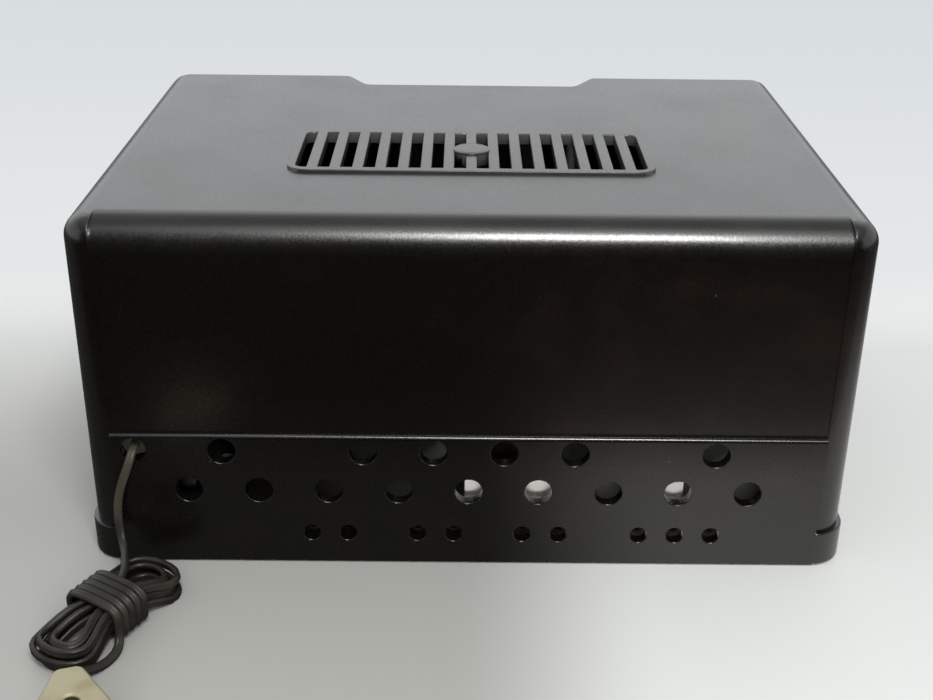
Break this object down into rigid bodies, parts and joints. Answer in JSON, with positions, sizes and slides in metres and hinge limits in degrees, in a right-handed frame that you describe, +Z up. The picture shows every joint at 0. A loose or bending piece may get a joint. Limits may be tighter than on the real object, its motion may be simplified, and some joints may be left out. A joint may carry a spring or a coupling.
{
  "type": "table radio",
  "caption": "Table radio in a dark-brown moulded cabinet with a slotted top grille, a rear panel of vents and plug sockets, front knobs and dial, and a tied mains lead",
  "frame": {"origin": "on the table, under the middle of the cabinet and its knobs, leaving the lead and plug out", "axes": "+X to the right seen from the front (left in the picture), +Y out of the back, +Z up"},
  "size_m": [0.4092, 0.4835, 0.1925],
  "materials": {
    "bakelite": "moulded phenolic resin, semi-gloss, dark brown with a faint mottle",
    "rubber": "moulded black rubber",
    "lead": "rubber-covered twin flex, dark grey-brown",
    "fibre": "brown laminated fibre board",
    "steel": "plated steel, dull with age",
    "iron": "stacked iron laminations, dark lacquer",
    "can": "tinned steel can",
    "brass": "turned or stamped brass, dull",
    "porcelain": "glazed white porcelain",
    "vane": "bare aluminium plate",
    "winding": "enamelled copper wire under varnished paper",
    "glass": "clear glass",
    "electrode": "carbonised nickel sheet",
    "scale": "cream printed celluloid",
    "resistor": "painted composition rods",
    "ivory": "moulded urea resin, ivory, slightly worn"
  },
  "bodies": {
    "set": {"housing": "bakelite", "back_panel": "bakelite", "valve_bases": "bakelite", "valve_sockets": "bakelite", "volume_body": "bakelite", "feet": "rubber", "cord_clamp": "rubber", "supply_cord": "lead", "cord_hank": "lead", "base_cover": "fibre", "socket_strip": "fibre", "tag_board": "fibre", "coil_former": "fibre", "reaction_stator": "fibre", "wave_switch_body": "fibre", "chassis": "steel", "cabinet_screws": "steel", "transformer_bolts": "steel", "dial_bracket": "steel", "capacitor_frame": "steel", "control_brackets": "steel", "toggle_body": "steel", "transformer_core": "iron", "choke_core": "iron", "block_condenser": "can", "plug_sockets": "brass", "escutcheon": "brass", "lamp_holder": "brass", "plug_pins": "brass", "plug_screw": "brass", "fuse_holder": "porcelain", "aerial_insulator": "porcelain", "mains_terminal": "porcelain", "stator_insulators": "porcelain", "stator_plates": "vane", "transformer_coil": "winding", "choke_coil": "winding", "coil_winding": "winding", "valve_bulbs": "glass", "dial_window": "glass", "dial_lamp": "glass", "valve_electrodes": "electrode", "resistors": "resistor", "plug_lower": "ivory", "plug_upper": "ivory"},
    "rotor": {"rotor_shaft": "steel", "rotor_plates": "brass", "drive_disc": "brass", "dial_scale": "scale"},
    "tuner": {"tuning_knob": "bakelite", "tuning_spindle": "steel", "friction_pulley": "brass"},
    "volume": {"volume_knob": "bakelite", "volume_spindle": "steel"},
    "reaction": {"reaction_knob": "bakelite", "reaction_spindle": "steel", "reaction_vanes": "brass"},
    "wave": {"wave_knob": "bakelite", "wave_spindle": "steel"},
    "toggle": {"toggle_lever": "steel"}
  },
  "joints": [
    {"name": "rotor_turn", "type": "hinge", "parent": "set", "child": "rotor", "pos_m": [0, -0.08, 0.12], "axis": [0, 1, 0], "range_deg": [-90, 90]},
    {"name": "tuning_turn", "type": "hinge", "parent": "set", "child": "tuner", "pos_m": [0, -0.11, 0.064], "axis": [0, 1, 0], "range_deg": [-540, 540]},
    {"name": "volume_turn", "type": "hinge", "parent": "set", "child": "volume", "pos_m": [-0.135, -0.13, 0.064], "axis": [0, 1, 0], "range_deg": [0, 270]},
    {"name": "reaction_turn", "type": "hinge", "parent": "set", "child": "reaction", "pos_m": [0.135, -0.13, 0.064], "axis": [0, 1, 0], "range_deg": [0, 180]},
    {"name": "wave_turn", "type": "hinge", "parent": "set", "child": "wave", "pos_m": [-0.047, -0.11, 0.043], "axis": [0, 1, 0], "range_deg": [0, 60]},
    {"name": "mains_toggle", "type": "hinge", "parent": "set", "child": "toggle", "pos_m": [0.047, -0.109, 0.043], "axis": [-1, 0, 0], "range_deg": [0, 34]}
  ],
  "couplings": [
    {"joint": "tuning_turn", "follows": "rotor_turn", "ratio": -6}
  ]
}
